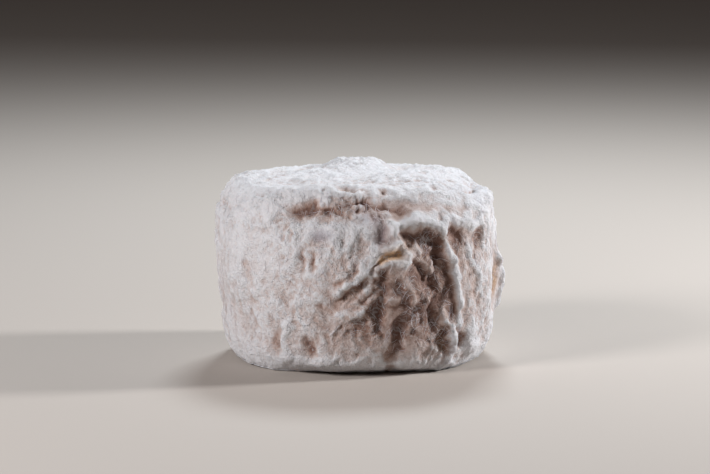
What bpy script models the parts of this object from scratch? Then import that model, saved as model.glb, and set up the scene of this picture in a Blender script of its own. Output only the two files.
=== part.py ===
"""A small drum-shaped goat's cheese with a wrinkled white mould rind, one solid.

Frame: +Z up, the flat underside on Z = 0, the cheese's axis on Z. -Y is the front.
Angles on the side are in degrees from the front, positive towards +X.
"""

import math
import random

import bmesh
import bpy
import numpy as np
from mathutils import Vector, noise

MM = 0.001  # the sizes below are in millimetres

BASE_FLAT_RADIUS = 20.5  # the underside, up to where its edge rounds off
BELLY_RADIUS = 26.0  # the widest, a little above half height
RIM_RADIUS = 20.2  # where the top turns down into the side
HEIGHT_AT_RIM = 33.4
HEIGHT_AT_CENTRE = 33.8

# Half of the drum's section, from the middle of the underside round to the middle of the top.
SECTION = [
    (0.0, 0.0),
    (BASE_FLAT_RADIUS, 0.0),
    (22.4, 0.4),
    (23.5, 1.6),
    (24.6, 5.0),
    (25.2, 10.0),
    (25.8, 15.0),
    (BELLY_RADIUS, 20.0),
    (25.9, 24.0),
    (25.4, 28.0),
    (24.3, 31.0),
    (22.5, 32.8),
    (RIM_RADIUS, HEIGHT_AT_RIM),
    (10.0, HEIGHT_AT_CENTRE - 0.05),
    (0.0, HEIGHT_AT_CENTRE),
]
CURVE_STEPS = 40  # between two points of the section
EDGE_FADE = 3.0  # the relief grows over this length above the flat underside
FRONT_TUCK = 3.0  # the lower edge draws in by this much at the front
FRONT_TUCK_HEIGHT = 2.5
FRONT_TUCK_DEGREES = 34.0
RESTING_DEGREES = (-42, 44, 138, 227)  # the four places that it rests on
RESTING_RADIUS = 21.3
CLEARANCE = 0.02  # of the flat between them
EDGE_LIFT = 0.05  # of the underside's edge, per millimetre outside the four-sided flat
EDGE_LIFT_HEIGHT = 3.0

QUADS_PER_QUARTER = 84  # round each quarter of the side
QUADS_UP = 66
TRIANGLES = 11400

# The rind's own relief, coarse to fine: how large, and how high.
LUMP_SIZE = 13.0
LUMP_HEIGHT = 0.6
FOLD_SIZE = 6.2
FOLD_HEIGHT = 0.55
FOLD_BEND = 2.4  # how far the folds' pattern is bent by a coarser one of BEND_SIZE
WRINKLE_SIZE = 3.2
WRINKLE_HEIGHT = 0.38
WRINKLE_BEND = 1.5
STRETCH = 0.75  # folds on the side are drawn out upwards
BEND_SIZE = 7.0
RIDGE_SLOPE = 2.6  # how steeply a ridge falls off from its crest
RIDGE_FINER = 2.03  # each ridge carries ridges this many times finer, half as high
SEED = Vector((31.7, 4.2, 18.9))

WANDER_SIZE = 3.2  # a modelled fold wanders from its line by as much as WANDER
WANDER = 0.65
FINE_WANDER_SIZE = 1.3
FINE_WANDER = 0.28
PATCH_SIZE = 9.0  # folds are stronger and weaker by patches of this size
PATCH_MEAN = 0.95
PATCH_SWING = 0.6

# Where the rind is calmer or rougher than elsewhere: the middle as (angle, height) and half sizes.
ROUGHNESS = {
    "left": dict(at=(-54, 17.0), size=(16.0, 18.0), more=-0.6),
    "front": dict(at=(2, 20.0), size=(9.0, 12.0), more=0.25),
    "terrace": dict(at=(38, 31.5), size=(11.0, 3.4), more=-0.7),
    "right": dict(at=(54, 16.0), size=(10.0, 18.0), more=-0.15),
    "hollow": dict(at=(28, 14.0), size=(6.0, 9.0), more=0.1),
}

# Crests: the line that each follows as (angle, height), its half widths on the right and the left
# of the line's way, how far it stands out, how sharp it is (1 a knife edge, 2 round) and how far
# it leans, (round, up). A fold that hangs over a hollow is narrow on one side and wide on the other.
CRESTS = {
    "arch": dict(
        line=[(15, 26.8), (17.4, 28.0), (21.0, 28.9), (25.2, 29.0), (29.7, 28.4), (33.4, 27.4), (36.5, 26.2)],
        width=(1.0, 1.1), height=1.35, sharp=2.0, lean=(-0.1, 0.0)),
    "arch_leg": dict(
        line=[(36.5, 26.2), (39.3, 23.8), (41.5, 21.0), (43.5, 18.0), (45, 15.0), (45.4, 13.0)],
        width=(1.1, 1.2), height=1.0, sharp=2.0, lean=(0.0, 0.0)),
    "arch_foot": dict(
        line=[(45.4, 13.0), (45.2, 11.0), (44.6, 9.4)],
        width=(0.8, 0.9), height=0.5, sharp=1.9, lean=(0.0, 0.0)),
    "ledge": dict(
        line=[(36, 27.4), (42, 27.9), (47, 27.6), (52, 27.0), (57, 26.6), (62, 26.9)],
        width=(0.8, 1.0), height=1.05, sharp=2.0, lean=(0.0, 0.0)),
    "ledge_behind": dict(
        line=[(54, 29.0), (57, 29.9), (61, 29.8), (66, 28.6)],
        width=(0.8, 1.1), height=0.8, sharp=1.7, lean=(0.0, 0.0)),
    "rib_right": dict(
        line=[(50, 25.6), (51.5, 22.9), (54.8, 19.6), (58.6, 16.6), (61, 13.8)],
        width=(0.7, 0.9), height=0.3, sharp=2.0, lean=(0.0, 0.0)),
    "rib_far_right": dict(
        line=[(67, 28.0), (69, 24.0), (70, 20.0), (71, 15.5), (69, 10.5)],
        width=(1.1, 1.4), height=0.55, sharp=1.7, lean=(0.0, 0.0)),
    "low_right_neck": dict(
        line=[(36.5, 12.0), (38.5, 9.8), (41.5, 8.8), (46.0, 9.2)],
        width=(0.7, 1.2), height=0.8, sharp=1.5, lean=(0.0, -0.2)),
    "low_right_leg": dict(
        line=[(41.5, 8.6), (43.3, 5.8), (43.2, 3.2), (41.5, 1.2)],
        width=(0.8, 0.8), height=1.0, sharp=1.5, lean=(-0.2, 0.0)),
    "low_right_lobe": dict(
        line=[(52.5, 7.6), (54.5, 5.2), (57.5, 3.8), (61.5, 3.4)],
        width=(1.5, 1.9), height=1.0, sharp=2.0, lean=(0.0, 0.0)),
    "frill_left": dict(
        line=[(29.6, 0.8), (31.0, 2.8), (32.8, 5.0)],
        width=(0.4, 0.5), height=0.5, sharp=1.7, lean=(0.0, 0.0)),
    "frill_middle": dict(
        line=[(32.8, 0.6), (33.6, 2.8), (35.4, 5.2)],
        width=(0.4, 0.5), height=0.5, sharp=1.7, lean=(0.0, 0.0)),
    "frill_right": dict(
        line=[(36.0, 0.6), (36.6, 2.4), (37.8, 4.2)],
        width=(0.4, 0.5), height=0.45, sharp=1.7, lean=(0.0, 0.0)),
    "slanting_fold": dict(
        line=[(-8, 16.2), (-3, 17.6), (1, 19.2), (5, 21.4), (8, 23.0), (14, 23.9)],
        width=(0.7, 1.5), height=0.95, sharp=1.7, lean=(0.0, -0.2)),
    "flake_tip": dict(
        line=[(13.5, 23.8), (17.0, 25.0), (19.0, 23.0), (21.0, 21.0)],
        width=(0.6, 0.8), height=1.0, sharp=1.3, lean=(0.1, 0.4)),
    "flake_top_lip": dict(
        line=[(9.5, 22.9), (12.0, 23.7), (15.0, 24.1)],
        width=(0.4, 0.6), height=0.45, sharp=1.8, lean=(0.0, 0.0)),
    "flake_lip": dict(
        line=[(8.0, 20.2), (11.5, 20.9), (15, 21.3), (19.0, 21.2)],
        width=(1.0, 0.7), height=1.05, sharp=1.9, lean=(0.0, 0.1)),
    "fold_past_flake": dict(
        line=[(21.0, 23.0), (25, 23.5), (29, 23.1), (31.0, 21.4), (31.5, 20.0)],
        width=(0.8, 1.2), height=0.5, sharp=1.9, lean=(0.0, 0.0)),
    "fold_low_in_hollow": dict(
        line=[(32, 18.4), (34, 17.2), (36, 15.6)],
        width=(0.7, 0.9), height=0.4, sharp=1.8, lean=(0.0, 0.0)),
    "fold_under_flake": dict(
        line=[(18, 18.8), (20.5, 17.0), (21.5, 15.2)],
        width=(0.7, 0.9), height=0.4, sharp=1.8, lean=(0.0, 0.0)),
    "strand_under_rim": dict(
        line=[(-3.0, 32.8), (-2.2, 31.2), (-2.6, 29.8)],
        width=(0.35, 0.45), height=0.4, sharp=1.8, lean=(0.0, 0.0)),
    "strand_over_pillow": dict(
        line=[(1.2, 32.9), (1.8, 31.4), (1.4, 30.2)],
        width=(0.35, 0.4), height=0.4, sharp=1.8, lean=(0.0, 0.0)),
    "strand_beside_pillow": dict(
        line=[(7.6, 32.8), (7.2, 31.2), (8.0, 29.8)],
        width=(0.4, 0.5), height=0.4, sharp=1.8, lean=(0.0, 0.0)),
    "curl_in_hollow": dict(
        line=[(24.5, 20.8), (26.5, 21.4), (28.6, 20.4), (29.6, 18.2), (29.0, 16.4)],
        width=(0.5, 0.8), height=0.55, sharp=1.8, lean=(0.0, 0.0)),
    "fold_in_hollow": dict(
        line=[(22, 14.4), (26, 14.8), (30, 14.0), (33, 15.2)],
        width=(0.7, 0.9), height=0.4, sharp=1.8, lean=(0.0, 0.0)),
    "cross_fold": dict(
        line=[(0, 11.8), (3, 13.0), (6, 14.6), (8, 16.2)],
        width=(0.6, 1.2), height=0.5, sharp=1.5, lean=(0.0, 0.0)),
    "brow": dict(
        line=[(-30, 32.2), (-22, 32.8), (-14, 33.1)],
        width=(0.9, 1.4), height=0.4, sharp=1.8, lean=(0.0, -0.1)),
    "rib_low_left": dict(
        line=[(-30, 9.5), (-31.5, 6.5), (-31.5, 3.5)],
        width=(1.1, 1.1), height=1.3, sharp=1.9, lean=(0.0, 0.0)),
    "rib_low_front": dict(
        line=[(-13.5, 8.5), (-14.5, 6.0), (-15, 3.5)],
        width=(1.4, 1.4), height=0.7, sharp=1.9, lean=(0.0, 0.0)),
    "side_flap": dict(
        line=[(81, 19.4), (86.5, 17.4), (89.0, 13.8), (88, 10.6)],
        width=(0.8, 1.2), height=1.75, sharp=1.5, lean=(-0.3, 0.0)),
    "left_flap": dict(
        line=[(-91, 23.6), (-86, 23.5), (-81, 22.6)],
        width=(1.8, 0.5), height=0.65, sharp=1.5, lean=(0.0, 0.2)),
}
FIRMEST, WEAKEST = 1.3, 0.75  # a crest is higher and lower by patches, between these shares
UNEVEN_SIZE = 2.4  # and along itself, by the share UNEVEN either way
UNEVEN = 0.5

# Furrows: the same, cut in.
FURROWS = {
    "under_rim": dict(
        line=[(-30, 30.8), (-18, 31.0), (0, 31.1), (10, 31.2), (16, 31.4)],
        width=2.9, depth=1.1),
    "terrace": dict(
        line=[(18, 32.2), (30, 32.3), (42, 32.4), (54, 32.4)],
        width=2.6, depth=0.95),
    "valley_low": dict(line=[(17, 10.0), (16, 7.0), (15, 4.0), (14.5, 1.0)], width=1.3, depth=1.1),
    "cave_under_flake": dict(line=[(10, 19.4), (8.5, 16.5), (9, 13.0), (8, 10.0)], width=1.1, depth=1.0),
    "slot_in_flake": dict(line=[(8.5, 21.4), (12, 22.4), (16.3, 22.7)], width=0.6, depth=0.5),
    "under_brow": dict(
        line=[(-12, 31.2), (-6, 32.0), (0, 32.4), (7, 32.5), (13, 31.8)],
        width=0.9, depth=0.3),
    "above_ledge": dict(
        line=[(16, 31.4), (22, 31.9), (28, 31.9), (34, 30.9), (40, 30.4), (48, 30.2), (54, 30.4)],
        width=1.4, depth=0.45),
    "slant_one": dict(line=[(-8.5, 17.2), (-4, 18.6), (0, 20.2)], width=0.5, depth=0.6),
    "slant_two": dict(line=[(-5.5, 15.4), (-2, 16.8), (1, 18.0)], width=0.5, depth=0.5),
    "slant_three": dict(line=[(-1, 13.4), (3, 14.6), (5.5, 17.0)], width=0.55, depth=0.5),
    "crease_in_hollow": dict(line=[(23, 20.8), (27, 19.4), (30, 16.6)], width=0.8, depth=0.6),
    "crease_down": dict(line=[(34.0, 22.0), (33.0, 18.5), (32.6, 14.5), (31.4, 11.0)], width=0.7, depth=0.6),
    "left_line": dict(line=[(-51, 20.0), (-49.5, 14.5), (-48, 9.0)], width=1.0, depth=0.35),
    "lobe_notch": dict(line=[(62, 33.0), (72, 32.6), (82, 32.5), (95, 32.4)], width=0.8, depth=1.0),
}

# Dimples and bumps: the middle as (angle, height), half sizes (round, up), and how far out.
SWELLINGS = {
    "big_hollow": dict(at=(33, 17.5), size=(4.6, 7.5), out=-1.6),
    "under_arch": dict(at=(33.8, 24.4), size=(2.1, 2.8), out=-1.6),
    "under_arch_left": dict(at=(25.5, 25.6), size=(3.2, 1.7), out=-0.9),
    "arch_body": dict(at=(23.0, 28.0), size=(3.2, 1.4), out=0.35),
    "right_top_corner": dict(at=(88, 33.2), size=(9.0, 1.5), out=-1.1),
    "right_of_arch": dict(at=(45.6, 25.2), size=(1.8, 2.2), out=-0.7),
    "right_of_rib": dict(at=(60.0, 24.6), size=(1.5, 2.8), out=-0.4),
    "low_right_pit": dict(at=(38.3, 5.4), size=(1.2, 2.6), out=-1.0),
    "low_far_right_pit": dict(at=(48.0, 6.2), size=(0.9, 1.8), out=-0.8),
    "pit_under_brow": dict(at=(-21.5, 31.0), size=(2.0, 1.5), out=-0.95),
    "far_pit_under_brow": dict(at=(-26.5, 30.2), size=(1.1, 0.8), out=-0.5),
    "second_pit": dict(at=(-13.0, 31.2), size=(1.1, 1.3), out=-0.7),
    "ridge_between_pits": dict(at=(-17.0, 31.8), size=(0.9, 1.8), out=0.45),
    "third_pit": dict(at=(-1.0, 32.4), size=(3.0, 1.2), out=-0.35),
    "pit_over_pillow": dict(at=(5.2, 32.6), size=(0.8, 1.4), out=-0.6),
    "fourth_pit": dict(at=(11.0, 32.0), size=(1.5, 1.1), out=-0.6),
    "face_under_ledge": dict(at=(47.0, 23.0), size=(10.0, 4.5), out=-0.6),
    "front_pillow": dict(at=(-6.5, 27.4), size=(2.6, 1.8), out=0.5),
    "front_pillow_right": dict(at=(3.0, 28.8), size=(2.3, 2.6), out=0.6),
    "valley_beside_pillow": dict(at=(9.0, 27.0), size=(1.1, 3.2), out=-0.55),
    "pillow_left_of_arch": dict(at=(13.5, 28.8), size=(1.6, 2.2), out=0.7),
    "grey_dip": dict(at=(-14.5, 26.0), size=(2.0, 1.4), out=-0.5),
    "slit_left": dict(at=(-17.5, 21.4), size=(0.7, 1.5), out=-0.8),
    "slit_far_left": dict(at=(-21.3, 21.8), size=(0.6, 1.7), out=-0.5),
    "low_left_pit": dict(at=(-36.0, 6.2), size=(1.2, 2.4), out=-0.6),
    "low_front_pit": dict(at=(-19.5, 5.3), size=(1.4, 2.2), out=-0.95),
    "lobe_over_low_pit": dict(at=(-21.0, 9.8), size=(1.8, 2.4), out=0.75),
    "low_front_lobe": dict(at=(1, 3.2), size=(6.0, 2.2), out=0.35),
    "crinkled_lobe": dict(at=(6, 6.6), size=(3.0, 1.8), out=0.5),
    "corner_lobe": dict(at=(82, 30.8), size=(5.4, 1.7), out=1.05),
    "left_cheek": dict(at=(-62, 21.0), size=(9.0, 9.0), out=0.45),
    "flap_hollow": dict(at=(78, 15.0), size=(1.3, 3.6), out=-0.8),
    "left_waist": dict(at=(-88, 12.5), size=(8.0, 4.0), out=-0.6),
    "left_shoulder": dict(at=(-88, 30.2), size=(7.0, 1.6), out=-0.5),
}

# Swellings of the top: the middle as (x, y), half sizes and how high.
TOP_SWELLINGS = {
    "pit_in_rim": dict(at=(-1.5, -20.2), size=(2.6, 1.0), out=-0.65),
    "pit_in_rim_right": dict(at=(4.4, -19.8), size=(0.7, 1.3), out=-0.8),
    "pit_in_rim_left": dict(at=(-6.4, -20.4), size=(0.9, 0.9), out=-0.5),
    "front_rim": dict(at=(-4.0, -18.2), size=(13.0, 3.4), out=1.2),
    "front_rim_right": dict(at=(12.0, -14.0), size=(6.0, 4.0), out=0.6),
    "back_rise": dict(at=(0.5, 12.0), size=(6.0, 5.0), out=1.15),
    "back_step": dict(at=(-4.0, 13.0), size=(2.0, 4.0), out=0.5),
    "back_peak": dict(at=(3.2, 14.0), size=(1.6, 2.2), out=0.7),
    "right_corner": dict(at=(20.3, 0.5), size=(3.0, 8.0), out=-1.3),
    "right_rise": dict(at=(13.5, 10.0), size=(5.0, 5.0), out=0.75),
    "dip_left_of_rise": dict(at=(-9.2, 14.5), size=(3.2, 4.5), out=-0.95),
    "dip_right_of_rise": dict(at=(8.0, 13.0), size=(2.2, 4.5), out=-0.95),
    "left_edge": dict(at=(-18.0, 4.0), size=(4.0, 8.0), out=0.35),
    "terrace": dict(at=(13.5, -17.5), size=(7.0, 5.0), out=-0.5),
}
TOP_FACES_UP = 0.5  # a swelling of the top fades out where the surface points up less than this

# More folds of the same kinds cover the back, drawn by a seeded rule.
BACK_FROM, BACK_TO = 102, 262  # degrees
BACK_FOLDS = 15
BACK_SEED = 11
BACK_START_HEIGHTS = (9.0, 29.0)
BACK_STEPS = (3, 4, 5)  # straight pieces to a fold
BACK_DROP = (1.6, 3.4)  # how far each goes down
BACK_LOWEST = 1.5
BACK_LEAN = (-2.16, 2.64)  # degrees that a fold turns at each piece
BACK_SWAY = 1.4  # degrees that a piece strays
BACK_WIDTHS = ((0.7, 1.0), (0.9, 1.8))  # right and left of its way
BACK_CREST_HEIGHTS = (0.5, 1.1)
BACK_SHARPNESS = (1.3, 1.8)
BACK_CREST_LEAN = 0.3
BACK_HOLLOW_ASIDE = 4.5  # degrees from the fold
BACK_HOLLOW_SIZES = ((1.2, 2.4), (1.8, 3.6))
BACK_HOLLOW_DEPTHS = (0.4, 0.9)


def section_curve():
    """The section as a smooth curve through its points: a Catmull-Rom spline, flat underneath."""
    p = np.array(SECTION)
    curve = [p[0]]
    for i in range(len(p) - 1):
        before = p[max(i - 1, 0)]
        after = p[min(i + 2, len(p) - 1)]
        cubic = 3 * p[i] - before - 3 * p[i + 1] + after
        square = 2 * before - 5 * p[i] + 4 * p[i + 1] - after
        for s in np.linspace(0, 1, CURVE_STEPS + 1)[1:]:
            if i == 0:
                curve.append(p[0] + (p[1] - p[0]) * s)
            else:
                curve.append(p[i] + 0.5 * (cubic * s**3 + square * s**2 + (p[i + 1] - before) * s))
    return np.array(curve)


CURVE = section_curve()
ALONG = np.concatenate([[0.0], np.cumsum(np.linalg.norm(np.diff(CURVE, axis=0), axis=1))])


def length_at(point):
    """How far along the section's curve a point of it lies."""
    return ALONG[np.argmin(np.linalg.norm(CURVE - np.array(point), axis=1))]


SIDE_FROM = length_at((BASE_FLAT_RADIUS, 0.0))
SIDE_TO = length_at((RIM_RADIUS, HEIGHT_AT_RIM))


def on_drum(angle, along):
    """Points of the plain drum, with the directions out, around and up the surface at each."""
    step = 0.4
    radius = np.interp(along, ALONG, CURVE[:, 0])
    height = np.interp(along, ALONG, CURVE[:, 1])
    rise = [
        np.interp(along + step, ALONG, CURVE[:, k]) - np.interp(along - step, ALONG, CURVE[:, k])
        for k in (0, 1)
    ]
    d_radius, d_height = rise / np.hypot(*rise)
    s, c = np.sin(angle), -np.cos(angle)
    point = np.stack([radius * s, radius * c, height], -1)
    out = np.stack([d_height * s, d_height * c, -d_radius], -1)
    up = np.stack([d_radius * s, d_radius * c, d_height], -1)
    around = np.stack([-c, s, np.zeros_like(s)], -1)
    return point, out, around, up


def on_side(degrees, height):
    """The drum's points at angles and heights on its side, with the directions there."""
    side = (ALONG >= SIDE_FROM) & (ALONG <= SIDE_TO)
    along = np.interp(height, CURVE[side, 1], ALONG[side])
    return on_drum(np.radians(np.asarray(degrees, float)), np.asarray(along, float))


def distance_to_line(points, line):
    """Each point's distance to a line of straight pieces on the side, and if it lies on its left."""
    degrees, heights = np.array(line, float).T
    stops, outs = on_side(degrees, heights)[:2]
    nearest = np.full(len(points), np.inf)
    on_left = np.zeros(len(points), bool)
    for a, b, out in zip(stops[:-1], stops[1:], outs):
        share = np.clip(((points - a) @ (b - a)) / ((b - a) @ (b - a)), 0, 1)
        gap = np.linalg.norm(points - a - share[:, None] * (b - a), axis=1)
        closer = gap < nearest
        on_left[closer] = (np.cross(b - a, points[closer] - a) @ out) > 0
        nearest[closer] = gap[closer]
    return nearest, on_left


def swelling(points, middle, one, two, size):
    """1 at the middle and 0 well outside, over an ellipse that lies on the surface."""
    offset = points - middle
    near = np.linalg.norm(offset, axis=1) < 3 * max(size)
    return near * np.exp(-((offset @ one / size[0]) ** 2) - (offset @ two / size[1]) ** 2)


def swelling_on_side(points, at, size):
    middle, _, around, up = on_side(*at)
    return swelling(points, middle, around, up, size)


def ridged(place):
    """Noise with sharp crests in two sizes, about -1 to 1."""
    coarse = 1 - RIDGE_SLOPE * abs(noise.noise(place))
    fine = 1 - RIDGE_SLOPE * abs(noise.noise(RIDGE_FINER * place + SEED))
    return (2 * coarse + fine) / 3


def drift(place):
    """Noise in three directions, each from its own part of the same field."""
    return Vector([noise.noise(place + SEED), noise.noise(place - SEED), noise.noise(place + 3 * SEED)])


def rind_relief(points, upright):
    """How far the lumps, folds and wrinkles stand out, and how strong folds are, at each point."""
    relief = np.empty(len(points))
    strong = np.empty(len(points))
    for i, (point, side) in enumerate(zip(points, upright)):
        place = Vector(point.tolist())
        tall = Vector((place.x, place.y, place.z * (1 - (1 - STRETCH) * float(side))))
        bend = drift(tall / BEND_SIZE)
        fold = ridged((tall + FOLD_BEND * bend) / FOLD_SIZE - SEED)
        wrinkle = ridged((tall + WRINKLE_BEND * bend) / WRINKLE_SIZE + 2 * SEED)
        strong[i] = PATCH_MEAN + PATCH_SWING * noise.noise(place / PATCH_SIZE - 3 * SEED)
        relief[i] = FOLD_HEIGHT * fold + WRINKLE_HEIGHT * wrinkle
    for place in ROUGHNESS.values():
        strong += place["more"] * swelling_on_side(points, place["at"], place["size"])
    lumps = np.array([noise.noise(Vector((p / LUMP_SIZE).tolist()) + SEED) for p in points])
    return LUMP_HEIGHT * lumps + strong * relief, strong


def wandered(points):
    """The points moved a little each way, so that what follows a straight line bends and breaks."""
    wander = [drift(Vector((p / WANDER_SIZE).tolist()) + 5 * SEED) for p in points]
    fine = [drift(Vector((p / FINE_WANDER_SIZE).tolist()) - 4 * SEED) for p in points]
    return points + WANDER * np.array(wander) + FINE_WANDER * np.array(fine)


def back_folds():
    """Crests and hollows for the back, of the sizes of those at the front."""
    draw = random.Random(BACK_SEED)
    crests, hollows = [], []
    for i in range(BACK_FOLDS):
        angle = BACK_FROM + (BACK_TO - BACK_FROM) * (i + draw.uniform(0.1, 0.9)) / BACK_FOLDS
        height = draw.uniform(*BACK_START_HEIGHTS)
        turn = draw.uniform(*BACK_LEAN)
        line = [(angle, height)]
        for _ in range(draw.choice(BACK_STEPS)):
            angle += turn + draw.uniform(-BACK_SWAY, BACK_SWAY)
            height -= draw.uniform(*BACK_DROP)
            if height > BACK_LOWEST:
                line.append((angle, height))
        crests.append(dict(
            line=line,
            width=tuple(draw.uniform(*widths) for widths in BACK_WIDTHS),
            height=draw.uniform(*BACK_CREST_HEIGHTS),
            sharp=draw.uniform(*BACK_SHARPNESS),
            lean=(draw.uniform(-BACK_CREST_LEAN, BACK_CREST_LEAN), -0.1)))
        aside = draw.choice((-BACK_HOLLOW_ASIDE, BACK_HOLLOW_ASIDE))
        hollows.append(dict(
            at=(line[1][0] + aside, line[1][1]),
            size=tuple(draw.uniform(*sizes) for sizes in BACK_HOLLOW_SIZES),
            out=-draw.uniform(*BACK_HOLLOW_DEPTHS)))
    return crests, hollows


def tucked_in(place, angle):
    """The points with the lower edge drawn in at the front, the underside still flat."""
    degrees = np.degrees((angle + math.pi) % (2 * math.pi) - math.pi)
    facing = np.exp(-((degrees / FRONT_TUCK_DEGREES) ** 4))
    low = np.clip(1 - place[:, 2] / FRONT_TUCK_HEIGHT, 0, 1) ** 2
    outer = np.clip(np.hypot(place[:, 0], place[:, 1]) / BASE_FLAT_RADIUS, 0, 1)
    inward = np.stack([-np.sin(angle), np.cos(angle), np.zeros_like(angle)], -1)
    return place + inward * (FRONT_TUCK * facing * low * outer)[:, None]


def resting_places():
    turns = np.radians(RESTING_DEGREES)
    return RESTING_RADIUS * np.stack([np.sin(turns), -np.cos(turns)], -1)


def lifted(place):
    """The points with the underside's edge lifted a little between the places that it rests on."""
    corners = resting_places()
    outside = np.zeros(len(place))
    for a, b in zip(corners, np.roll(corners, -1, axis=0)):
        out = np.array([b[1] - a[1], a[0] - b[0]]) / np.hypot(*(b - a))
        outside = np.maximum(outside, (place[:, :2] - a) @ out)
    low = np.clip(1 - place[:, 2] / EDGE_LIFT_HEIGHT, 0, 1)
    return place + np.outer(EDGE_LIFT * outside * low, (0, 0, 1))


def shaped(angle, along):
    """The cheese's own surface over the plain drum's, in millimetres."""
    point, out, around, up = on_drum(angle, along)
    upright = np.clip(1 - np.abs(out[:, 2]), 0, 1)
    relief, strong = rind_relief(point, upright)
    near = wandered(point)
    crests, hollows = back_folds()
    move = out * relief[:, None]
    uneven = np.array([noise.noise(Vector((p / UNEVEN_SIZE).tolist()) - SEED) for p in point])
    firm = np.clip(strong, WEAKEST, FIRMEST) * (1 + UNEVEN * uneven)
    for crest in [*CRESTS.values(), *crests]:
        gap, on_left = distance_to_line(near, crest["line"])
        share = np.exp(-((gap / np.where(on_left, *crest["width"][::-1])) ** crest["sharp"]))
        lean = out + crest["lean"][0] * around + crest["lean"][1] * up
        move += lean * (crest["height"] * firm * share)[:, None]
    for furrow in FURROWS.values():
        gap = distance_to_line(near, furrow["line"])[0]
        move -= out * (furrow["depth"] * np.exp(-((gap / furrow["width"]) ** 2)))[:, None]
    for dent in [*SWELLINGS.values(), *hollows]:
        move += out * (dent["out"] * swelling_on_side(near, dent["at"], dent["size"]))[:, None]
    for rise in TOP_SWELLINGS.values():
        middle = np.array([*rise["at"], HEIGHT_AT_CENTRE])
        share = swelling(near, middle, np.eye(3)[0], np.eye(3)[1], rise["size"])
        move += out * (rise["out"] * share * np.clip(out[:, 2] / TOP_FACES_UP, 0, 1))[:, None]
    free = np.clip((along - SIDE_FROM) / EDGE_FADE, 0, 1)
    smooth = free * free * (3 - 2 * free)
    place = point + move * smooth[:, None]
    place[:, 2] = np.maximum(place[:, 2], 0)
    return lifted(tucked_in(place, angle))


def cube_to_drum(corners):
    """Angle and place along the section for points of a cube from -1 to 1.

    The cube's lower face becomes the underside, its upper face the top, and the others the side.
    """
    x, y, z = corners.T
    ring = np.maximum(np.abs(x), np.abs(y))
    facing_x = np.abs(x) >= np.abs(y)
    turn = np.where(facing_x, y, x) / np.maximum(ring, 1e-9) * math.pi / 4
    from_x = np.where(x >= 0, turn, math.pi - turn)
    from_y = np.where(y >= 0, math.pi / 2 - turn, turn - math.pi / 2)
    angle = np.where(facing_x, from_x, from_y) + math.pi / 2
    on_lower, on_upper = z < -1 + 1e-6, z > 1 - 1e-6
    along = SIDE_FROM + (z + 1) / 2 * (SIDE_TO - SIDE_FROM)
    along = np.where(on_lower, ring * SIDE_FROM, along)
    along = np.where(on_upper, ALONG[-1] - ring * (ALONG[-1] - SIDE_TO), along)
    return angle, along


def cut_along(mesh, axis, quads):
    """Cut each of the cube's full-length edges along an axis into so many."""
    edges = [e for e in mesh.edges if abs(e.verts[0].co[axis] - e.verts[1].co[axis]) > 1]
    bmesh.ops.subdivide_edges(mesh, edges=edges, cuts=quads - 1, use_grid_fill=True)


def cheese_mesh():
    """A cube cut into a fine grid, with its points moved onto the cheese's surface."""
    mesh = bmesh.new()
    bmesh.ops.create_cube(mesh, size=2.0)
    cut_along(mesh, 2, QUADS_UP)
    cut_along(mesh, 0, QUADS_PER_QUARTER)
    cut_along(mesh, 1, QUADS_PER_QUARTER)
    corners = np.array([v.co[:] for v in mesh.verts])
    places = shaped(*cube_to_drum(corners))
    for vert, place in zip(mesh.verts, places):
        vert.co = Vector(place.tolist()) * MM
    bmesh.ops.triangulate(mesh, faces=mesh.faces)
    data = bpy.data.meshes.new("crottin")
    mesh.to_mesh(data)
    mesh.free()
    data.shade_smooth()
    return data


def rind_material():
    material = bpy.data.materials.new("bloomy_rind")
    material.use_nodes = True
    shader = material.node_tree.nodes["Principled BSDF"]
    shader.inputs["Base Color"].default_value = (0.72, 0.66, 0.63, 1)
    shader.inputs["Roughness"].default_value = 0.85
    return material


def with_fewer_triangles(cheese):
    fewer = cheese.modifiers.new("fewer triangles", "DECIMATE")
    fewer.ratio = TRIANGLES / len(cheese.data.polygons)
    cut_down = cheese.evaluated_get(bpy.context.evaluated_depsgraph_get())
    data = bpy.data.meshes.new_from_object(cut_down)
    cheese.modifiers.remove(fewer)
    return data


def set_down(data):
    """Four points of the underside's edge put on Z = 0, and all others kept clear of it."""
    for vert in data.vertices:
        vert.co.z = max(vert.co.z, CLEARANCE * MM)
    low = [v for v in data.vertices if v.co.z < EDGE_LIFT_HEIGHT / 2 * MM]
    for place in resting_places():
        corner = Vector((*place, 0)) * MM
        min(low, key=lambda v: (v.co - corner).length).co.z = 0


def main():
    for old in list(bpy.data.objects):
        bpy.data.objects.remove(old)
    cheese = bpy.data.objects.new("crottin", cheese_mesh())
    bpy.context.scene.collection.objects.link(cheese)
    cheese.data = with_fewer_triangles(cheese)
    set_down(cheese.data)
    cheese.data.materials.append(rind_material())


main()
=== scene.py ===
import math
import random

import bmesh
import bpy
import numpy as np
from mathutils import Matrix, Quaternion, Vector, noise


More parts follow.
